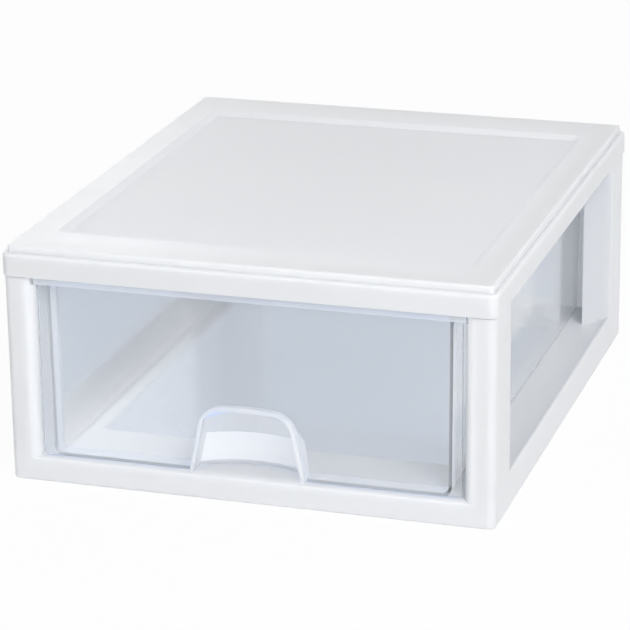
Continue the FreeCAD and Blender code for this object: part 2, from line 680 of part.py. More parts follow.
def make_drawer():
    """The clear drawer: a tub with a rim, a front plate, a pull arch and a finger space."""
    shell = new_body("drawer_shell")
    wall = size("drawer_wall")
    overrun = size("cut_overrun")
    face_y = -frame_half_y + size("front_setback")
    back_y = face_y + wall
    bottom_level = runner_level + size("running_clearance")
    tub_top = skirt_bottom - size("front_top_gap") - size("tub_top_gap")
    top_x = guide_half_x - size("guide_clearance") - size("tub_rim_width")
    bottom_x = top_x - size("tub_side_draft")
    rear_y = tub_rear_y()
    bottom_rear_y = rear_y - size("tub_rear_draft")
    # The upright corners are rounder than the foot edge, which turns round them.
    corner = size("tub_bottom_radius") + size("tub_corner_extra")

    # The tub's sides and back lean out towards its top. It runs on past the front, where
    # the plate closes it.
    ahead_y = face_y + wall / 2
    inside_x = top_x - wall
    inside_rear = rear_y - wall
    section = front_sketch(shell, "tub_section", ahead_y)
    add_polygon(section, [(-bottom_x, bottom_level), (bottom_x, bottom_level),
                          (top_x, tub_top), (-top_x, tub_top)])
    pad(shell, "tub_block", section, rear_y - ahead_y, backwards=True)
    lean = side_sketch(shell, "tub_rear_lean", ZERO)
    add_polygon(lean, [(bottom_rear_y, bottom_level), (rear_y, tub_top),
                       (rear_y + overrun, tub_top), (rear_y + overrun, bottom_level)])
    pocket_across(shell, "tub_rear_cut", lean)
    round_edges(shell, "tub_corners", corner,
                lambda edge, middle: middle.y > 0 and edge.BoundBox.ZLength > corner.number)
    round_edges(shell, "tub_foot_edge", size("tub_bottom_radius"),
                lambda edge, middle: near(middle.z, bottom_level.number)
                and middle.y > ahead_y.number + NEAR)
    hollow(shell, "tub_hollow", wall,
           lambda face, middle: near(middle.z, tub_top.number) or near(middle.y, ahead_y.number))

    # The rim round the tub's mouth.
    rim = level_sketch(shell, "tub_rim_outline", tub_top)
    rim_x = top_x + size("tub_rim_width")
    rim_rear = rear_y + size("rear_rim_width")
    add_rectangle(rim, -rim_x, rim_x, face_y, rim_rear)
    add_rounded(rim, -inside_x, inside_x, back_y, inside_rear, corner - wall)
    pad(shell, "tub_rim", rim, size("tub_rim_height"), backwards=True)
    # The mouth is round at the back and square at the front, where it meets the plate.
    mouth_front = level_sketch(shell, "mouth_front_outline", tub_top)
    add_rectangle(mouth_front, -inside_x, inside_x, back_y, back_y + corner)
    pocket(shell, "mouth_front", mouth_front, size("tub_rim_height"))
    round_edges(shell, "rim_corners", corner,
                lambda edge, middle: near(middle.y, rim_rear.number)
                and near(abs(middle.x), rim_x.number))

    # The front plate and the strip along its top.
    plate_x = opening_half_x - size("front_side_gap")
    plate_low = runner_level + size("front_bottom_gap")
    plate_top = skirt_bottom - size("front_top_gap")
    plate = front_sketch(shell, "front_plate_outline", face_y)
    add_rounded(plate, -plate_x, plate_x, plate_low, plate_top, size("front_corner_radius"))
    pad(shell, "front_plate", plate, wall, backwards=True)
    strip_x = plate_x + size("notch_width")
    strip = front_sketch(shell, "front_strip_outline", face_y - size("strip_proud"))
    add_rounded(strip, -strip_x, strip_x, plate_top - size("strip_height"), plate_top,
                size("strip_end_radius"))
    pad(shell, "front_strip", strip, wall + size("strip_proud"), backwards=True)

    # Stops on the rim that meet the frame's front rail when the drawer is fully out.
    rail_back_y = -rim_half_y + size("frame_wall")
    stop_front = rail_back_y + size("stop_clearance") + size("drawer_travel")
    stops = level_sketch(shell, "stop_sections", tub_top)
    for side in (-1, 1):
        low_x, high_x = (top_x, rim_x) if side > 0 else (-rim_x, -top_x)
        add_rectangle(stops, low_x, high_x, stop_front, stop_front + size("stop_length"))
    pad(shell, "rim_stops", stops, skirt_bottom - tub_top + size("stop_overlap"))

    # The pull arch stands forward of the plate.
    foot_level = plate_low
    arch_top = foot_level + size("arch_height")
    arch_half = size("arch_foot_width") / 2
    arch = front_sketch(shell, "arch_outline", face_y - size("arch_proud"))
    add_arch(arch, arch_half, foot_level, size("arch_lean"), size("arch_shoulder_radius"),
             size("arch_crown_radius"), arch_top)
    pad(shell, "arch_block", arch, size("arch_proud") + wall, backwards=True)
    round_edges(shell, "arch_edge", size("arch_edge_radius"),
                lambda edge, middle: near(middle.y, (face_y - size("arch_proud")).number)
                and middle.z > foot_level.number + NEAR)

    # The finger space behind the arch: a bowed wall, then a ceiling that slopes forward.
    bead = size("arch_bead")
    lean_run = math.tan(math.radians(size("arch_lean").number))
    void_foot = bottom_level - overrun
    void_half = arch_half - bead + (foot_level - void_foot) * lean_run
    crease = foot_level + size("alcove_crease_height")
    alcove_y = face_y + size("alcove_depth")
    space = finger_space("finger_space", void_half, void_foot, arch_top - bead, bead, crease,
                         alcove_y, size("alcove_radius"), face_y - size("arch_proud") - overrun)
    skin_lift = wall * math.tan(math.atan2(size("alcove_ceiling_run").number,
                                           size("alcove_ceiling_rise").number) / 2)
    skin_half = arch_half - bead + wall + (foot_level - bottom_level) * lean_run
    skin = finger_space("finger_space_skin", skin_half, bottom_level, arch_top - bead + wall,
                        bead - wall, crease + skin_lift, alcove_y + wall,
                        size("alcove_radius") + wall, face_y)

    solid = doc.addObject("Part::MultiFuse", "drawer_solid")
    solid.Shapes = [shell, skin]
    drawer = doc.addObject("Part::Cut", "drawer")
    drawer.Label = "drawer"
    drawer.Base = solid
    drawer.Tool = space
    return drawer


def finger_space(name, foot_half, foot_level, top_level, inset, crease, back_y, radius, front_y):
    """The arch's outline run back to a bowed wall with a sloping ceiling."""
    prism = new_body(f"{name}_prism")
    outline = front_sketch(prism, f"{name}_outline", front_y)
    shoulder = size("arch_shoulder_radius") - inset
    crown = size("arch_crown_radius") - inset
    add_arch(outline, foot_half, foot_level, size("arch_lean"), shoulder, crown, top_level)
    pad(prism, f"{name}_run", outline, back_y + radius - front_y, backwards=True)

    wall_disc = doc.addObject("Part::Cylinder", f"{name}_wall")
    wall_disc.setExpression("Radius", radius.text)
    wall_disc.setExpression("Height", (crease - foot_level).text)
    wall_disc.setExpression("Placement.Base.y", (back_y - radius).text)
    wall_disc.setExpression("Placement.Base.z", foot_level.text)

    disc = doc.addObject("Part::Circle", f"{name}_crease")
    disc.setExpression("Radius", radius.text)
    disc.setExpression("Placement.Base.y", (back_y - radius).text)
    disc.setExpression("Placement.Base.z", crease.text)
    ceiling = doc.addObject("Part::Extrusion", f"{name}_ceiling")
    ceiling.Base = disc
    ceiling.DirMode = "Custom"
    run = size("alcove_ceiling_run").number
    rise = size("alcove_ceiling_rise").number
    ceiling.Dir = FreeCAD.Vector(0, -run, rise).normalize()
    ceiling.Solid = True
    ceiling.setExpression("LengthFwd", (size("arch_height") * 2).text)

    bow = doc.addObject("Part::MultiFuse", f"{name}_bow")
    bow.Shapes = [wall_disc, ceiling]
    space = doc.addObject("Part::Common", name)
    space.Base = prism
    space.Tool = bow
    return space


def write_steps(pieces):
    """Check every object and every piece, then write one STEP file for each piece."""
    doc.recompute()
    for entry in doc.Objects:
        if "Invalid" in entry.State or "Error" in entry.State:
            raise ValueError(f"{entry.Label} failed: {entry.State}")
    for piece in pieces:
        shape = piece.Shape
        if shape.isNull() or not shape.isValid() or len(shape.Solids) != 1:
            raise ValueError(f"{piece.Label} is not one sound solid")
    os.makedirs("parts", exist_ok=True)
    for piece in pieces:
        piece.Shape.exportStep(f"parts/{piece.Label}.step")
        box = piece.Shape.BoundBox
        print(piece.Label, [round(v, 2) for v in (box.XMin, box.XMax, box.YMin, box.YMax,
                                                  box.ZMin, box.ZMax)],
              f"{piece.Shape.Volume:.0f} mm3")


write_steps([make_top(), make_frame(), make_drawer()])
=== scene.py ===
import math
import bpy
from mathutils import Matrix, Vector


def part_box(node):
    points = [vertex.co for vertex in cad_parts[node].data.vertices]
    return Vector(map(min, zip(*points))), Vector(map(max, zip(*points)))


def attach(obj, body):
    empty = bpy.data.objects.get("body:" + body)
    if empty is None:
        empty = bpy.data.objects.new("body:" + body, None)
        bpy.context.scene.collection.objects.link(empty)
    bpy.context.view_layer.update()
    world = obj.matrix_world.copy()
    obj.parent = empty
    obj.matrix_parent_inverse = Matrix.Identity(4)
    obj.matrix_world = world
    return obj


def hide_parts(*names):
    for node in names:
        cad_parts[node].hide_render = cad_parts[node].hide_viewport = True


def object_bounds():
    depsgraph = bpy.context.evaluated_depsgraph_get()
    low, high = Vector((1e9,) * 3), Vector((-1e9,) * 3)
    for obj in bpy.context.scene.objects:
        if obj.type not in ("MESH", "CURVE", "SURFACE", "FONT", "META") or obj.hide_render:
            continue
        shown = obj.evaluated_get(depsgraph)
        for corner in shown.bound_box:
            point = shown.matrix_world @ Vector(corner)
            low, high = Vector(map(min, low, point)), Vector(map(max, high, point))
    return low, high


bl_info = {
    "name": "Stacking drawer box",
    "version": (1, 0, 0),
    "blender": (4, 5, 0),
    "location": "3D View > Sidebar > Drawer Box",
    "description": "Dresses a stacking drawer box: white moulded case, clear drawer, stage and camera",
    "category": "Object",
}

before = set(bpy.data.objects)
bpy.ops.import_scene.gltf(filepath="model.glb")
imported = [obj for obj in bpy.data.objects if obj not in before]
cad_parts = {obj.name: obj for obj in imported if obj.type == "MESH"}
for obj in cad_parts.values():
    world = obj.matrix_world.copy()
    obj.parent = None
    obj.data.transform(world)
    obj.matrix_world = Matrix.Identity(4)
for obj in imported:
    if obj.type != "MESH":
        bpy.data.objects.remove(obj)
CAD_LOW, CAD_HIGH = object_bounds()

import bmesh
import bpy
from bpy.props import FloatProperty, FloatVectorProperty, IntProperty, PointerProperty
from mathutils import Matrix, Vector

MM = 0.001
MERGE_DISTANCE = 0.02 * MM
CUT_TOLERANCE = 0.002 * MM
FLAT_ANGLE = math.radians(0.4)
BEVEL_ANGLE = math.radians(40)
TOP_SHARP_ANGLE = math.radians(40)
MOULDED_SHARP_ANGLE = math.radians(32)
EDGE_SEGMENTS = 2
TOP_LOW, TOP_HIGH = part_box("top_panel")
DRAWER_LOW, DRAWER_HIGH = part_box("drawer")
CASE_BODY = "case"
DRAWER_BODY = "drawer"

WHITE = (1.0, 1.0, 1.0)
SKY_COLOUR = (0.97, 0.985, 1.0)
PASSED_LIGHT = (0.99, 0.995, 1.0)
FLOOR_ROUGHNESS = 0.8
PLASTIC_IOR = 1.49
FLOW_SCALE = 7.0
FLOW_SHADE = 0.985
GLOSS_SCALE = 45.0
GLOSS_SPREAD = 0.03
SMOOTH_GRAIN_SCALE = 900.0
SMOOTH_GRAIN_STRENGTH = 0.05
PANEL_GRAIN_SCALE = 1500.0
PANEL_GRAIN_STRENGTH = 0.25
GRAIN_HEIGHT = 0.05 * MM
RIPPLE_SCALE = 18.0
RIPPLE_STRENGTH = 0.12
RIPPLE_HEIGHT = 0.4 * MM


# Sizes, finishes and stage settings

class TopSettings(bpy.types.PropertyGroup):
    """Sizes of the white top. Its outline and its levels come from the frame."""

    plateau_height: FloatProperty(
        name="Border height", description="How far the raised border stands above the ledge",
        default=5.4 * MM, unit="LENGTH")
    plateau_inset: FloatProperty(
        name="Ledge width", description="The ledge round the raised border",
        default=3.8 * MM, unit="LENGTH")
    corner_radius: FloatProperty(
        name="Corner radius", description="Radius of the skirt's four corners",
        default=7.0 * MM, unit="LENGTH")
    side_border: FloatProperty(
        name="Side border", description="From the skirt to the sunk panel at the sides",
        default=26.6 * MM, unit="LENGTH")
    end_border: FloatProperty(
        name="End border", description="From the skirt to the sunk panel at the front and back",
        default=43.4 * MM, unit="LENGTH")
    recess_depth: FloatProperty(
        name="Recess depth", description="How far the middle panel is sunk",
        default=3.5 * MM, unit="LENGTH")
    recess_slope: FloatProperty(
        name="Recess slope", description="Width of the sloping wall round the sunk panel",
        default=5.5 * MM, unit="LENGTH")
    recess_radius: FloatProperty(
        name="Recess corner radius", description="Radius of the recess's corners at its mouth",
        default=6.0 * MM, unit="LENGTH")
    skirt_wall: FloatProperty(
        name="Skirt wall", description="Thickness of the skirt", default=2.2 * MM, unit="LENGTH")
    top_wall: FloatProperty(
        name="Top wall", description="Thickness of the top", default=2.5 * MM, unit="LENGTH")
    rim_clearance: FloatProperty(
        name="Rim level", description="From the ledge down to the frame's rim",
        default=2.5 * MM, unit="LENGTH")
    skirt_edge_radius: FloatProperty(
        name="Skirt edge", description="Rounding of the skirt's top edge",
        default=2.2 * MM, unit="LENGTH")
    plateau_edge_radius: FloatProperty(
        name="Border edge", description="Rounding of the raised border's outer edge",
        default=1.6 * MM, unit="LENGTH")
    recess_edge_radius: FloatProperty(
        name="Recess edge", description="Rounding of the recess's mouth and floor edge",
        default=1.4 * MM, unit="LENGTH")
    small_edge_radius: FloatProperty(
        name="Small edge", description="Rounding of every other edge of the top",
        default=0.5 * MM, unit="LENGTH")
    corner_steps: IntProperty(
        name="Corner steps", description="Straight steps in each rounded corner", default=14, min=3)
    ridge_length: FloatProperty(
        name="Snap ridge length", description="Length of the ridges inside the skirt",
        default=30.0 * MM, unit="LENGTH")
    ridge_height: FloatProperty(
        name="Snap ridge height", description="Height of the ridges inside the skirt",
        default=2.0 * MM, unit="LENGTH")
    ridge_depth: FloatProperty(
        name="Snap ridge depth", description="How far the ridges stand in from the skirt",
        default=0.8 * MM, unit="LENGTH")
    ridge_spacing: FloatProperty(
        name="Snap ridge spacing", description="Between the ridges on one side",
        default=200.0 * MM, unit="LENGTH")
    ridge_rise: FloatProperty(
        name="Snap ridge rise", description="From the skirt's foot to the ridges",
        default=5.5 * MM, unit="LENGTH")


class DrawerSettings(bpy.types.PropertyGroup):
    """Places of the clear drawer that are thick or frosted. Its shape comes from the frame."""

    arch_proud: FloatProperty(
        name="Pull proud", description="How far the pull arch stands out from the front plate",
        default=5.1 * MM, unit="LENGTH")
    plate_wall: FloatProperty(
        name="Plate reach", description="From the front plate's face to just behind the strip",
        default=2.3 * MM, unit="LENGTH")
    strip_foot: FloatProperty(
        name="Strip foot", description="Level of the foot of the strip along the plate's top",
        default=149.9 * MM, unit="LENGTH")
    rim_depth: FloatProperty(
        name="Rim depth", description="Height of the rim round the tub",
        default=7.0 * MM, unit="LENGTH")
    finger_half_width: FloatProperty(
        name="Finger space half width", description="From the middle to the side of the finger space",
        default=46.0 * MM, unit="LENGTH")
    finger_top: FloatProperty(
        name="Finger space top", description="Level of the top of the pull and its finger space",
        default=75.0 * MM, unit="LENGTH")
    finger_depth: FloatProperty(
        name="Finger space depth", description="How far the finger space reaches behind the plate's face",
        default=26.0 * MM, unit="LENGTH")
    join_start: FloatProperty(
        name="Join start", description="From the plate's face to where the walls' join starts",
        default=2.76 * MM, unit="LENGTH")
    join_depth: FloatProperty(
        name="Join depth", description="From the plate's face to where the walls' join ends",
        default=14.0 * MM, unit="LENGTH")
    wall_band: FloatProperty(
        name="Wall band", description="Width of the join, in from the drawer's sides and foot",
        default=20.0 * MM, unit="LENGTH")


class FinishSettings(bpy.types.PropertyGroup):
    """Colours and gloss of the two plastics, and the softness of the moulded edges."""

    white: FloatVectorProperty(
        name="White", description="Colour of the white plastic",
        subtype="COLOR", size=3, default=(0.89, 0.90, 0.925))
    white_roughness: FloatProperty(
        name="White roughness", description="Roughness of the white plastic",
        default=0.34, min=0, max=1)
    white_depth: FloatProperty(
        name="White depth", description="How deep light goes into the white plastic",
        default=4.0 * MM, unit="LENGTH")
    white_glow: FloatProperty(
        name="White translucency", description="Share of light that passes into the white plastic",
        default=1.0, min=0, max=1)
    panel_roughness: FloatProperty(
        name="Sunk panel roughness", description="Roughness of the sunk panel's fine grain",
        default=0.5, min=0, max=1)
    clear: FloatVectorProperty(
        name="Clear", description="Colour of the clear plastic's surface",
        subtype="COLOR", size=3, default=(0.98, 0.985, 0.993))
    depth_tint: FloatVectorProperty(
        name="Depth tint", description="Colour that the clear plastic takes on with thickness",
        subtype="COLOR", size=3, default=(0.75, 0.88, 1.0))
    depth_density: FloatProperty(
        name="Depth density", description="How strongly the clear plastic takes on its tint",
        default=2.0, min=0)
    thick: FloatVectorProperty(
        name="Thick", description="Colour of the clear plastic where it is thick and frosted",
        subtype="COLOR", size=3, default=(0.96, 0.975, 1.0))
    clear_roughness: FloatProperty(
        name="Clear roughness", description="Roughness of the clear plastic",
        default=0.08, min=0, max=1)
    haze: FloatProperty(
        name="Haze", description="Share of the thin clear walls that scatters light",
        default=0.08, min=0, max=1)
    thick_haze: FloatProperty(
        name="Thick haze", description="Share of the thick and frosted places that scatters light",
        default=0.6, min=0, max=1)
    frame_edge: FloatProperty(
        name="Frame edge", description="Softness of the frame's moulded edges",
        default=0.5 * MM, unit="LENGTH")
    drawer_edge: FloatProperty(
        name="Drawer edge", description="Softness of the clear drawer's moulded edges",
        default=0.35 * MM, unit="LENGTH")


class StageSettings(bpy.types.PropertyGroup):
    """The camera, the floor, the surround and the lamps."""

    camera_place: FloatVectorProperty(
        name="Camera place", description="Where the camera stands",
        subtype="TRANSLATION", unit="LENGTH", size=3, default=(0.6230, -2.0091, 0.8042))
    azimuth: FloatProperty(
        name="Azimuth", description="Turn of the view round the box, 0 looking along +Y",
        subtype="ANGLE", default=math.radians(17.639))
    pitch: FloatProperty(
        name="Pitch", description="How far the view looks down",
        subtype="ANGLE", default=math.radians(19.235))
    roll: FloatProperty(
        name="Roll", description="Turn of the picture about the view",
        subtype="ANGLE", default=math.radians(-0.784))
    lens: FloatProperty(
        name="Lens", description="Focal length of the camera in millimetres",
        default=164.62, min=1)
    floor_size: FloatProperty(
        name="Floor size", description="Width of the floor", default=24.0, unit="LENGTH")
    floor_colour: FloatVectorProperty(
        name="Floor", description="Colour of the floor",
        subtype="COLOR", size=3, default=(0.94, 0.95, 0.97))
    floor_glow: FloatProperty(
        name="Floor in view", description="Share of plain white that the camera sees in the floor",
        default=0.94, min=0, max=1)
    # Painted shade: a fixed blue-grey that the floor and surround show behind clear plastic, in place of
    # the box's real shade on them
    painted_shade_behind_plastic: FloatVectorProperty(
        name="Seen through", description="Colour of the floor and surround behind clear plastic",
        subtype="COLOR", size=3, default=(0.50, 0.56, 0.65))
    sky_low: FloatProperty(
        name="Low sky light", description="Strength of the light from near the horizon",
        default=0.47, min=0)
    sky_high: FloatProperty(
        name="High sky light", description="Strength of the light from overhead",
        default=0.48, min=0)
    front_place: FloatVectorProperty(
        name="Front light place", description="Where the low light at the front stands",
        subtype="TRANSLATION", unit="LENGTH", size=3, default=(-0.7, -2.8, 0.75))
    front_width: FloatProperty(
        name="Front light width", description="Width of the low light at the front",
        default=1.5, unit="LENGTH")
    front_power: FloatProperty(
        name="Front light power", description="Power of the low light at the front, in watts",
        default=8.0, min=0)
    right_place: FloatVectorProperty(
        name="Right light place", description="Where the high light at the front right stands",
        subtype="TRANSLATION", unit="LENGTH", size=3, default=(1.7, -1.9, 1.9))
    right_width: FloatProperty(
        name="Right light width", description="Width of the high light at the front right",
        default=1.4, unit="LENGTH")
    right_power: FloatProperty(
        name="Right light power", description="Power of the high light at the front right, in watts",
        default=49.0, min=0)
    back_place: FloatVectorProperty(
        name="Back light place", description="Where the light at the back left stands",
        subtype="TRANSLATION", unit="LENGTH", size=3, default=(-1.5, 2.1, 1.0))
    back_width: FloatProperty(
        name="Back light width", description="Width of the light at the back left",
        default=1.2, unit="LENGTH")
    back_power: FloatProperty(
        name="Back light power", description="Power of the light at the back left, in watts",
        default=6.0, min=0)


def settings():
    """The scene's four groups of settings."""
    scene = bpy.context.scene
    return scene.drawer_box_top, scene.drawer_box_drawer, scene.drawer_box_finish, scene.drawer_box_stage


# Materials

def new_material(name):
    """Start a material that holds only a Principled shader and its output."""
    material = bpy.data.materials.new(name)
    material.use_nodes = True
    tree = material.node_tree
    tree.nodes.clear()
    output = tree.nodes.new("ShaderNodeOutputMaterial")
    shader = tree.nodes.new("ShaderNodeBsdfPrincipled")
    tree.links.new(shader.outputs["BSDF"], output.inputs["Surface"])
    return material, tree, shader, output


def noise(tree, scale, detail, rough=0.5):
    """A noise pattern on the piece's own coordinates."""
    place = tree.nodes.new("ShaderNodeTexCoord")
    pattern = tree.nodes.new("ShaderNodeTexNoise")
    pattern.inputs["Scale"].default_value = scale
    pattern.inputs["Detail"].default_value = detail
    pattern.inputs["Roughness"].default_value = rough
    tree.links.new(place.outputs["Object"], pattern.inputs["Vector"])
    return pattern.outputs["Fac"]


def spread(tree, value, low, high):
    """Map a pattern to a range of values."""
    change = tree.nodes.new("ShaderNodeMapRange")
    change.inputs["From Min"].default_value = 0.3
    change.inputs["From Max"].default_value = 0.7
    change.inputs["To Min"].default_value = low
    change.inputs["To Max"].default_value = high
    tree.links.new(value, change.inputs["Value"])
    return change.outputs["Result"]


def bump(tree, shader, height, strength, distance):
    """Give a shader small bumps from a pattern."""
    node = tree.nodes.new("ShaderNodeBump")
    node.inputs["Strength"].default_value = strength
    node.inputs["Distance"].default_value = distance
    tree.links.new(height, node.inputs["Height"])
    tree.links.new(node.outputs["Normal"], shader.inputs["Normal"])


def shade_between(tree, value, dark, light):
    """A colour between two shades, after a pattern."""
    mix = tree.nodes.new("ShaderNodeMix")
    mix.data_type = "RGBA"
    mix.inputs["A"].default_value = (*dark, 1)
    mix.inputs["B"].default_value = (*light, 1)
    tree.links.new(value, mix.inputs["Factor"])
    return mix.outputs["Result"]


def white_plastic(name, finish, roughness, grain_scale, grain_strength):
    """White moulded plastic: faint flow shades, uneven gloss, a fine grain and some depth."""
    material, tree, shader, _ = new_material(name)
    colour = finish.white
    flow = spread(tree, noise(tree, FLOW_SCALE, 2.0), 0.0, 1.0)
    darker = tuple(part * FLOW_SHADE for part in colour)
    tree.links.new(shade_between(tree, flow, darker, colour), shader.inputs["Base Color"])
    gloss = spread(tree, noise(tree, GLOSS_SCALE, 3.0), roughness - GLOSS_SPREAD, roughness + GLOSS_SPREAD)
    tree.links.new(gloss, shader.inputs["Roughness"])
    shader.inputs["IOR"].default_value = PLASTIC_IOR
    shader.inputs["Subsurface Weight"].default_value = finish.white_glow
    shader.inputs["Subsurface Radius"].default_value = (1.0, 1.0, 1.0)
    shader.inputs["Subsurface Scale"].default_value = finish.white_depth
    bump(tree, shader, noise(tree, grain_scale, 2.0), grain_strength, GRAIN_HEIGHT)
    return material


def clear_plastic(name, finish, colour, haze):
    """Clear moulded plastic: tinted by its depth, hazy by its share, and open to lamps."""
    material, tree, shader, output = new_material(name)
    shader.inputs["Base Color"].default_value = (*colour, 1)
    shader.inputs["Roughness"].default_value = finish.clear_roughness
    shader.inputs["IOR"].default_value = PLASTIC_IOR
    shader.inputs["Transmission Weight"].default_value = 1 - haze
    bump(tree, shader, noise(tree, RIPPLE_SCALE, 1.0), RIPPLE_STRENGTH, RIPPLE_HEIGHT)
    tint = tree.nodes.new("ShaderNodeVolumeAbsorption")
    tint.inputs["Color"].default_value = (*finish.depth_tint, 1)
    tint.inputs["Density"].default_value = finish.depth_density
    tree.links.new(tint.outputs["Volume"], output.inputs["Volume"])

    # Light from lamps and from the floor's bounce passes straight through.
    open_side = tree.nodes.new("ShaderNodeBsdfTransparent")
    open_side.inputs["Color"].default_value = (*PASSED_LIGHT, 1)
    path = tree.nodes.new("ShaderNodeLightPath")
    surface = shader.outputs["BSDF"]
    for ray in ("Is Shadow Ray", "Is Diffuse Ray"):
        mix = tree.nodes.new("ShaderNodeMixShader")
        tree.links.new(path.outputs[ray], mix.inputs["Fac"])
        tree.links.new(surface, mix.inputs[1])
        tree.links.new(open_side.outputs["BSDF"], mix.inputs[2])
        surface = mix.outputs["Shader"]
    tree.links.new(surface, output.inputs["Surface"])
    return material


# The white top, made by a node tree that turns each point of its section into a ring

def section_arc(before, corner, after, radius, steps):
    """Replace one corner of the section by an arc. A point is (inset x, inset y, level, bend)."""
    towards_before = Vector((before[0] - corner[0], before[2] - corner[2])).normalized()
    towards_after = Vector((after[0] - corner[0], after[2] - corner[2])).normalized()
    half_turn = towards_before.angle(towards_after) / 2
    centre_way = (towards_before + towards_after).normalized()
    centre = centre_way * (radius / math.sin(half_turn))
    reach = radius / math.tan(half_turn)
    start = towards_before * reach - centre
    finish = towards_after * reach - centre
    points = []
    for step in range(steps + 1):
        share = step / steps
        offset = centre + start.slerp(finish, share) * radius
        inset_x = corner[0] + offset.x
        inset_y = corner[1] + offset.x
        points.append((inset_x, inset_y, corner[2] + offset.y, max(0.0, corner[3] - offset.x)))
    return points


def top_section(top):
    """The top's section from the middle of its upper face round to the middle of its underside."""
    half_x, half_y = TOP_HIGH.x, TOP_HIGH.y
    height = TOP_HIGH.z
    ledge = height - top.plateau_height
    skirt_foot = TOP_LOW.z
    rim_level = ledge - top.rim_clearance
    floor = height - top.recess_depth
    inset = top.plateau_inset
    wall = top.top_wall
    bend = top.corner_radius
    inner_bend = bend - inset
    small = top.small_edge_radius
    mouth = (top.side_border, top.end_border)
    foot = (mouth[0] + top.recess_slope, mouth[1] + top.recess_slope)
    under = inset + wall
    under_mouth = (mouth[0] - wall, mouth[1] - wall)
    corners = [
        ((half_x, half_y, floor, 0.0), None),
        ((*foot, floor, top.recess_radius - top.recess_slope / 2), top.recess_edge_radius),
        ((*mouth, height, top.recess_radius), top.recess_edge_radius),
        ((inset, inset, height, inner_bend), top.plateau_edge_radius),
        ((inset, inset, ledge, inner_bend), small),
        ((0.0, 0.0, ledge, bend), top.skirt_edge_radius),
        ((0.0, 0.0, skirt_foot, bend), small),
        ((top.skirt_wall, top.skirt_wall, skirt_foot, bend - top.skirt_wall), small),
        ((top.skirt_wall, top.skirt_wall, rim_level, bend - top.skirt_wall), small),
        ((under, under, rim_level, inner_bend - wall), small),
        ((under, under, height - wall, inner_bend - wall), small),
        ((*under_mouth, height - wall, top.recess_radius), small),
        ((*under_mouth, floor - wall, top.recess_radius), small),
        ((half_x, half_y, floor - wall, 0.0), None),
    ]
    points = [corners[0][0]]
    for index in range(1, len(corners) - 1):
        corner, radius = corners[index]
        arc_steps = 6 if radius > small else 2
        points += section_arc(corners[index - 1][0], corner, corners[index + 1][0], radius, arc_steps)
    points.append(corners[-1][0])
    return points


def section_mesh(name, points):
    """Hold the section's points and their values for the node tree."""
    mesh = bpy.data.meshes.new(name)
    mesh.from_pydata([(x, 0.0, level) for x, _, level, _ in points], [], [])
    for column, label in enumerate(("inset_x", "inset_y", "level", "bend")):
        attribute = mesh.attributes.new(label, "FLOAT", "POINT")
        attribute.data.foreach_set("value", [point[column] for point in points])
    return mesh


class TreeMaker:
    """Short calls for building a node tree."""

    def __init__(self, name):
        self.tree = bpy.data.node_groups.new(name, "GeometryNodeTree")
        self.sockets = {}

    def add_input(self, label, kind, default=None):
        socket = self.tree.interface.new_socket(label, in_out="INPUT", socket_type=kind)
        if default is not None:
            socket.default_value = default
        self.sockets[label] = socket.identifier

    def node(self, kind, *inputs, **options):
        made = self.tree.nodes.new(kind)
        for option, value in options.items():
            setattr(made, option, value)
        for index, value in enumerate(inputs):
            if isinstance(value, bpy.types.NodeSocket):
                self.tree.links.new(value, made.inputs[index])
            elif value is not None:
                made.inputs[index].default_value = value
        return made

    def maths(self, operation, *inputs):
        return self.node("ShaderNodeMath", *inputs, operation=operation).outputs[0]


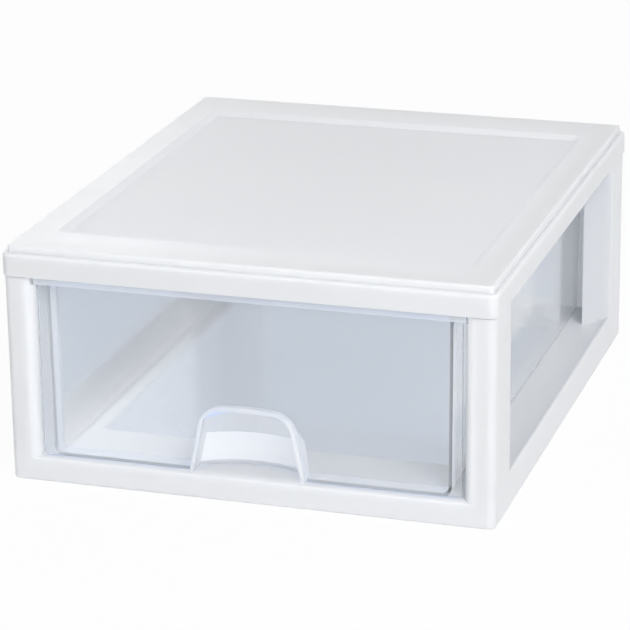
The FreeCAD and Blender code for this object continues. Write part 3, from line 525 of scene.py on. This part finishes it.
def ring_tree():
    """A node tree that lofts rounded rectangles, one for each point of a section, and adds ridges."""
    maker = TreeMaker("Rounded rectangle loft")
    maker.add_input("Section", "NodeSocketGeometry")
    for label in ("Width", "Depth"):
        maker.add_input(label, "NodeSocketFloat", 0.1)
    maker.add_input("Corner Steps", "NodeSocketInt", 8)
    for label in ("Ridge Length", "Ridge Height", "Ridge Depth", "Ridge Spacing", "Ridge Level",
                  "Ridge Inset"):
        maker.add_input(label, "NodeSocketFloat", 0.01)
    maker.add_input("Material", "NodeSocketMaterial")
    maker.tree.interface.new_socket("Geometry", in_out="OUTPUT", socket_type="NodeSocketGeometry")
    node, maths = maker.node, maker.maths
    given = node("NodeGroupInput").outputs

    rings = node("GeometryNodeAttributeDomainSize", given["Section"]).outputs["Point Count"]
    around = maths("MULTIPLY", maths("ADD", given["Corner Steps"], 1.0), 4.0)
    columns = maths("ADD", around, 1.0)
    grid = node("GeometryNodeMeshGrid", 1.0, 1.0, rings, columns).outputs["Mesh"]
    index = node("GeometryNodeInputIndex").outputs[0]
    ring = maths("FLOOR", maths("DIVIDE", maths("ADD", index, 0.5), columns))
    column = maths("SUBTRACT", index, maths("MULTIPLY", ring, columns))
    column = maths("MODULO", column, around)
    corner = maths("FLOOR", maths("DIVIDE", maths("ADD", column, 0.5),
                                  maths("ADD", given["Corner Steps"], 1.0)))
    step = maths("SUBTRACT", column,
                 maths("MULTIPLY", corner, maths("ADD", given["Corner Steps"], 1.0)))
    quarter = math.pi / 2
    angle = maths("MULTIPLY", maths("ADD", corner, maths("DIVIDE", step, given["Corner Steps"])),
                  quarter)
    middle = maths("MULTIPLY", maths("ADD", corner, 0.5), quarter)

    def section_value(label):
        named = node("GeometryNodeInputNamedAttribute", label, data_type="FLOAT").outputs[0]
        sampled = node("GeometryNodeSampleIndex", data_type="FLOAT", domain="POINT")
        maker.tree.links.new(given["Section"], sampled.inputs["Geometry"])
        maker.tree.links.new(named, sampled.inputs["Value"])
        maker.tree.links.new(ring, sampled.inputs["Index"])
        return sampled.outputs[0]

    bend = section_value("bend")
    places = []
    for size, inset, wave in (("Width", "inset_x", "COSINE"), ("Depth", "inset_y", "SINE")):
        half = maths("SUBTRACT", maths("MULTIPLY", given[size], 0.5), section_value(inset))
        side = maths("SIGN", maths(wave, middle))
        centre = maths("MULTIPLY", side, maths("SUBTRACT", half, bend))
        places.append(maths("ADD", centre, maths("MULTIPLY", bend, maths(wave, angle))))
    place = node("ShaderNodeCombineXYZ", *places, section_value("level")).outputs[0]
    lofted = node("GeometryNodeSetPosition")
    maker.tree.links.new(grid, lofted.inputs["Geometry"])
    maker.tree.links.new(place, lofted.inputs["Position"])
    closed = node("GeometryNodeMergeByDistance")
    maker.tree.links.new(lofted.outputs[0], closed.inputs["Geometry"])
    closed.inputs["Distance"].default_value = MERGE_DISTANCE

    # The ridges stand on a grid of two by two points inside the skirt.
    ridge_size = node("ShaderNodeCombineXYZ", given["Ridge Depth"], given["Ridge Length"],
                      given["Ridge Height"]).outputs[0]
    block = node("GeometryNodeMeshCube", ridge_size).outputs["Mesh"]
    reach = maths("SUBTRACT", given["Width"], maths("MULTIPLY", given["Ridge Inset"], 2.0))
    spots = node("GeometryNodeMeshGrid", reach, given["Ridge Spacing"], 2, 2).outputs["Mesh"]
    lift = node("ShaderNodeCombineXYZ", 0.0, 0.0, given["Ridge Level"]).outputs[0]
    lifted = node("GeometryNodeTransform", spots)
    maker.tree.links.new(lift, lifted.inputs["Translation"])
    ridges = node("GeometryNodeInstanceOnPoints")
    maker.tree.links.new(lifted.outputs[0], ridges.inputs["Points"])
    maker.tree.links.new(block, ridges.inputs["Instance"])

    joined = node("GeometryNodeJoinGeometry")
    maker.tree.links.new(ridges.outputs[0], joined.inputs[0])
    maker.tree.links.new(closed.outputs[0], joined.inputs[0])
    real = node("GeometryNodeRealizeInstances", joined.outputs[0])
    dressed = node("GeometryNodeSetMaterial", real.outputs[0])
    maker.tree.links.new(given["Material"], dressed.inputs["Material"])
    output = node("NodeGroupOutput")
    maker.tree.links.new(dressed.outputs[0], output.inputs[0])
    return maker


def plain_mesh(source, name):
    """Turn an object with modifiers into a plain mesh object of the given name."""
    evaluated = source.evaluated_get(bpy.context.evaluated_depsgraph_get())
    mesh = bpy.data.meshes.new_from_object(evaluated)
    mesh.name = name
    bpy.data.objects.remove(source)
    piece = bpy.data.objects.new(name, mesh)
    bpy.context.scene.collection.objects.link(piece)
    return piece


def face_outwards(mesh):
    """Turn every face of a closed mesh outwards."""
    shape = bmesh.new()
    shape.from_mesh(mesh)
    bmesh.ops.recalc_face_normals(shape, faces=shape.faces)
    shape.to_mesh(mesh)
    shape.free()


def smooth_edges(piece, angle):
    """Shade a piece smoothly up to an angle, with the larger faces kept flat."""
    piece.data.shade_smooth()
    piece.data.set_sharp_from_angle(angle=angle)
    weighted = piece.modifiers.new("Flat faces", "WEIGHTED_NORMAL")
    weighted.keep_sharp = True
    weighted.weight = 80


def seat_piece(piece, body, node_name):
    """Let a piece ride on its body in the place of its CAD node."""
    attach(piece, body)
    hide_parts(node_name)


def moulded_copy(node_name, piece_name, edge, cut_y=None):
    """A closed copy of a CAD node with soft moulded edges. Its faces may be parted at a depth."""
    shape = bmesh.new()
    shape.from_mesh(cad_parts[node_name].data)
    bmesh.ops.remove_doubles(shape, verts=shape.verts, dist=MERGE_DISTANCE)
    bmesh.ops.dissolve_limit(shape, angle_limit=FLAT_ANGLE, verts=shape.verts,
                             edges=shape.edges)
    if cut_y is not None:
        bmesh.ops.bisect_plane(shape, geom=[*shape.verts, *shape.edges, *shape.faces],
                               dist=CUT_TOLERANCE, plane_co=(0, cut_y, 0), plane_no=(0, 1, 0))
    mesh = bpy.data.meshes.new(piece_name)
    shape.to_mesh(mesh)
    shape.free()
    source = bpy.data.objects.new(piece_name + "_source", mesh)
    bpy.context.scene.collection.objects.link(source)
    soft = source.modifiers.new("Moulded edges", "BEVEL")
    soft.width = edge
    soft.segments = EDGE_SEGMENTS
    soft.limit_method = "ANGLE"
    soft.angle_limit = BEVEL_ANGLE
    soft.miter_outer = "MITER_ARC"
    soft.use_clamp_overlap = True
    return plain_mesh(source, piece_name)


# Operators, one for each piece and one for the stage

class DRAWERBOX_OT_white_top(bpy.types.Operator):
    """Make the white top with its skirt, raised border and sunk panel"""

    bl_idname = "drawerbox.white_top"
    bl_label = "White Top"

    def execute(self, context):
        top, _, finish, _ = settings()
        smooth = white_plastic("white_top", finish, finish.white_roughness,
                               SMOOTH_GRAIN_SCALE, SMOOTH_GRAIN_STRENGTH)
        grained = white_plastic("white_panel", finish, finish.panel_roughness,
                                PANEL_GRAIN_SCALE, PANEL_GRAIN_STRENGTH)
        source = bpy.data.objects.new("top_source", section_mesh("top_section", top_section(top)))
        context.scene.collection.objects.link(source)
        maker = ring_tree()
        loft = source.modifiers.new("Loft", "NODES")
        loft.node_group = maker.tree
        ridge_inset = top.skirt_wall + top.ridge_depth / 2
        values = {
            "Width": TOP_HIGH.x - TOP_LOW.x,
            "Depth": TOP_HIGH.y - TOP_LOW.y,
            "Corner Steps": top.corner_steps,
            "Ridge Length": top.ridge_length,
            "Ridge Height": top.ridge_height,
            "Ridge Depth": top.ridge_depth,
            "Ridge Spacing": top.ridge_spacing,
            "Ridge Level": TOP_LOW.z + top.ridge_rise + top.ridge_height / 2,
            "Ridge Inset": ridge_inset,
            "Material": smooth,
        }
        for label, value in values.items():
            loft[maker.sockets[label]] = value
        piece = plain_mesh(source, "white_top")
        face_outwards(piece.data)
        piece.data.materials.append(grained)
        floor_level = TOP_HIGH.z - top.recess_depth
        for face in piece.data.polygons:
            if abs(face.center.z - floor_level) < MERGE_DISTANCE and face.normal.z > 0:
                face.material_index = len(piece.data.materials) - 1
        smooth_edges(piece, TOP_SHARP_ANGLE)
        seat_piece(piece, CASE_BODY, "top_panel")
        return {"FINISHED"}


class DRAWERBOX_OT_white_frame(bpy.types.Operator):
    """Make the white frame with soft moulded edges"""

    bl_idname = "drawerbox.white_frame"
    bl_label = "White Frame"

    def execute(self, context):
        _, _, finish, _ = settings()
        piece = moulded_copy("frame", "white_frame", finish.frame_edge)
        piece.data.materials.clear()
        piece.data.materials.append(white_plastic(
            "white_frame", finish, finish.white_roughness, SMOOTH_GRAIN_SCALE, SMOOTH_GRAIN_STRENGTH))
        smooth_edges(piece, MOULDED_SHARP_ANGLE)
        seat_piece(piece, CASE_BODY, "frame")
        return {"FINISHED"}


class DRAWERBOX_OT_clear_drawer(bpy.types.Operator):
    """Make the clear drawer with its pull arch and finger space"""

    bl_idname = "drawerbox.clear_drawer"
    bl_label = "Clear Drawer"

    def execute(self, context):
        _, drawer, finish, _ = settings()
        face_y = DRAWER_LOW.y + drawer.arch_proud
        piece = moulded_copy("drawer", "clear_drawer", finish.drawer_edge, face_y + drawer.join_depth)
        piece.data.materials.clear()
        piece.data.materials.append(clear_plastic("clear_drawer", finish, finish.clear, finish.haze))
        piece.data.materials.append(clear_plastic("clear_thick", finish, finish.thick, finish.thick_haze))
        self.mark_thick_faces(piece.data, drawer, face_y)
        smooth_edges(piece, MOULDED_SHARP_ANGLE)
        seat_piece(piece, DRAWER_BODY, "drawer")
        return {"FINISHED"}

    def mark_thick_faces(self, mesh, drawer, face_y):
        """Give the strip, the pull, the rim and the walls' join with the plate the hazier plastic."""
        near_pull = [
            abs(point.co.x) < drawer.finger_half_width and point.co.z < drawer.finger_top
            and point.co.y < face_y + drawer.finger_depth for point in mesh.vertices]
        for face in mesh.polygons:
            x, y, z = face.center
            proud = y < face_y - MERGE_DISTANCE
            strip = z > drawer.strip_foot and y < face_y + drawer.plate_wall
            rim = z > DRAWER_HIGH.z - drawer.rim_depth
            finger_space = all(near_pull[index] for index in face.vertices)
            wall = abs(x) > DRAWER_HIGH.x - drawer.wall_band or z < DRAWER_LOW.z + drawer.wall_band
            join = wall and face_y + drawer.join_start < y < face_y + drawer.join_depth
            if proud or strip or rim or finger_space or join:
                face.material_index = 1


def in_view(tree, plain, kind, looks):
    """Show some kinds of ray a plain colour in place of a surface. A look is (ray, colour, share)."""
    path = tree.nodes.new("ShaderNodeLightPath")
    surface = plain
    for ray, colour, share in looks:
        glow = tree.nodes.new(kind)
        glow.inputs["Color"].default_value = (*colour, 1)
        glow.inputs["Strength"].default_value = 1.0
        seen = path.outputs[ray]
        if share < 1:
            part = tree.nodes.new("ShaderNodeMath")
            part.operation = "MULTIPLY"
            part.inputs[1].default_value = share
            tree.links.new(seen, part.inputs[0])
            seen = part.outputs[0]
        mix = tree.nodes.new("ShaderNodeMixShader")
        tree.links.new(seen, mix.inputs["Fac"])
        tree.links.new(surface, mix.inputs[1])
        tree.links.new(glow.outputs[0], mix.inputs[2])
        surface = mix.outputs["Shader"]
    return surface


def make_floor(stage):
    """A plain pale floor that is white in view and keeps the box's shadow; behind plastic it shows a
    painted shade colour.
    """
    half = stage.floor_size / 2
    mesh = bpy.data.meshes.new("floor")
    corners = [(-half, -half, 0), (half, -half, 0), (half, half, 0), (-half, half, 0)]
    mesh.from_pydata(corners, [], [(0, 1, 2, 3)])
    floor = bpy.data.objects.new("floor", mesh)
    bpy.context.scene.collection.objects.link(floor)
    material, tree, shader, output = new_material("pale_floor")
    shader.inputs["Base Color"].default_value = (*stage.floor_colour, 1)
    shader.inputs["Roughness"].default_value = FLOOR_ROUGHNESS
    surface = in_view(tree, shader.outputs["BSDF"], "ShaderNodeEmission", (
        ("Is Camera Ray", WHITE, stage.floor_glow),
        ("Is Glossy Ray", WHITE, stage.floor_glow),
        # Behind clear plastic the floor shows only the painted shade colour
        ("Is Transmission Ray", stage.painted_shade_behind_plastic, 1.0),
    ))
    tree.links.new(surface, output.inputs["Surface"])
    mesh.materials.append(material)


def make_sky(stage):
    """A pale surround that is plain white in view and shows a painted shade colour behind clear plastic.
    """
    world = bpy.data.worlds.new("surround")
    bpy.context.scene.world = world
    world.use_nodes = True
    tree = world.node_tree
    tree.nodes.clear()
    output = tree.nodes.new("ShaderNodeOutputWorld")
    light = tree.nodes.new("ShaderNodeBackground")
    light.inputs["Color"].default_value = (*SKY_COLOUR, 1)
    way = tree.nodes.new("ShaderNodeTexCoord")
    parts = tree.nodes.new("ShaderNodeSeparateXYZ")
    level = tree.nodes.new("ShaderNodeMapRange")
    level.inputs["To Min"].default_value = stage.sky_low
    level.inputs["To Max"].default_value = stage.sky_high
    tree.links.new(way.outputs["Generated"], parts.inputs["Vector"])
    tree.links.new(parts.outputs["Z"], level.inputs["Value"])
    tree.links.new(level.outputs["Result"], light.inputs["Strength"])
    surface = in_view(tree, light.outputs["Background"], "ShaderNodeBackground", (
        ("Is Camera Ray", WHITE, 1.0),
        ("Is Glossy Ray", WHITE, 1.0),
        # Behind clear plastic the surround shows only the painted shade colour
        ("Is Transmission Ray", stage.painted_shade_behind_plastic, 1.0),
    ))
    tree.links.new(surface, output.inputs["Surface"])


def soft_light(name, place, target, width, power, reflected=True):
    """A large square light that faces a point. Glossy surfaces may be kept from showing it."""
    data = bpy.data.lights.new(name, "AREA")
    data.shape = "SQUARE"
    data.size = width
    data.energy = power
    lamp = bpy.data.objects.new(name, data)
    lamp.location = place
    lamp.visible_glossy = reflected
    lamp.rotation_euler = (Vector(target) - Vector(place)).to_track_quat("-Z", "Y").to_euler()
    bpy.context.scene.collection.objects.link(lamp)


def make_camera(stage):
    """A camera at the given place, turned by azimuth, pitch and roll."""
    across, down = math.sin(stage.pitch), math.cos(stage.pitch)
    forward = Vector((-math.sin(stage.azimuth) * down, math.cos(stage.azimuth) * down, -across))
    right = forward.cross(Vector((0, 0, 1))).normalized()
    up = right.cross(forward)
    turned_right = right * math.cos(stage.roll) + up * math.sin(stage.roll)
    turned_up = up * math.cos(stage.roll) - right * math.sin(stage.roll)
    data = bpy.data.cameras.new("camera")
    data.lens = stage.lens
    data.clip_start, data.clip_end = 0.05, 100.0
    camera = bpy.data.objects.new("camera", data)
    turn = Matrix((turned_right, turned_up, -forward)).transposed().to_4x4()
    camera.matrix_world = Matrix.Translation(stage.camera_place) @ turn
    bpy.context.scene.collection.objects.link(camera)
    bpy.context.scene.camera = camera


class DRAWERBOX_OT_stage(bpy.types.Operator):
    """Make the floor, the light and the camera"""

    bl_idname = "drawerbox.stage"
    bl_label = "Stage"

    def execute(self, context):
        stage = settings()[-1]
        context.scene.view_settings.view_transform = "Standard"
        make_camera(stage)
        make_floor(stage)
        make_sky(stage)
        middle = (0, 0, CAD_HIGH.z / 2)
        soft_light("front_light", stage.front_place, middle, stage.front_width, stage.front_power,
                   reflected=False)
        soft_light("right_light", stage.right_place, middle, stage.right_width, stage.right_power,
                   reflected=False)
        soft_light("back_light", stage.back_place, middle, stage.back_width, stage.back_power)
        return {"FINISHED"}


class DRAWERBOX_PT_panel(bpy.types.Panel):
    """The box's pieces and settings in the sidebar"""

    bl_idname = "DRAWERBOX_PT_panel"
    bl_label = "Drawer Box"
    bl_space_type = "VIEW_3D"
    bl_region_type = "UI"
    bl_category = "Drawer Box"

    def draw(self, context):
        for maker in MAKERS:
            self.layout.operator(maker.bl_idname)
        for group in settings():
            box = self.layout.box()
            for label in group.bl_rna.properties.keys():
                if label not in ("rna_type", "name"):
                    box.prop(group, label)


GROUPS = {
    "drawer_box_top": TopSettings,
    "drawer_box_drawer": DrawerSettings,
    "drawer_box_finish": FinishSettings,
    "drawer_box_stage": StageSettings,
}
MAKERS = (
    DRAWERBOX_OT_stage,
    DRAWERBOX_OT_white_frame,
    DRAWERBOX_OT_white_top,
    DRAWERBOX_OT_clear_drawer,
)


def register():
    for name, group in GROUPS.items():
        bpy.utils.register_class(group)
        setattr(bpy.types.Scene, name, PointerProperty(type=group))
    for maker in MAKERS:
        bpy.utils.register_class(maker)
    bpy.utils.register_class(DRAWERBOX_PT_panel)


def unregister():
    bpy.utils.unregister_class(DRAWERBOX_PT_panel)
    for maker in reversed(MAKERS):
        bpy.utils.unregister_class(maker)
    for name, group in reversed(GROUPS.items()):
        delattr(bpy.types.Scene, name)
        bpy.utils.unregister_class(group)


def main():
    register()
    bpy.ops.drawerbox.stage()
    bpy.ops.drawerbox.white_frame()
    bpy.ops.drawerbox.white_top()
    bpy.ops.drawerbox.clear_drawer()


if __name__ == "__main__":
    main()
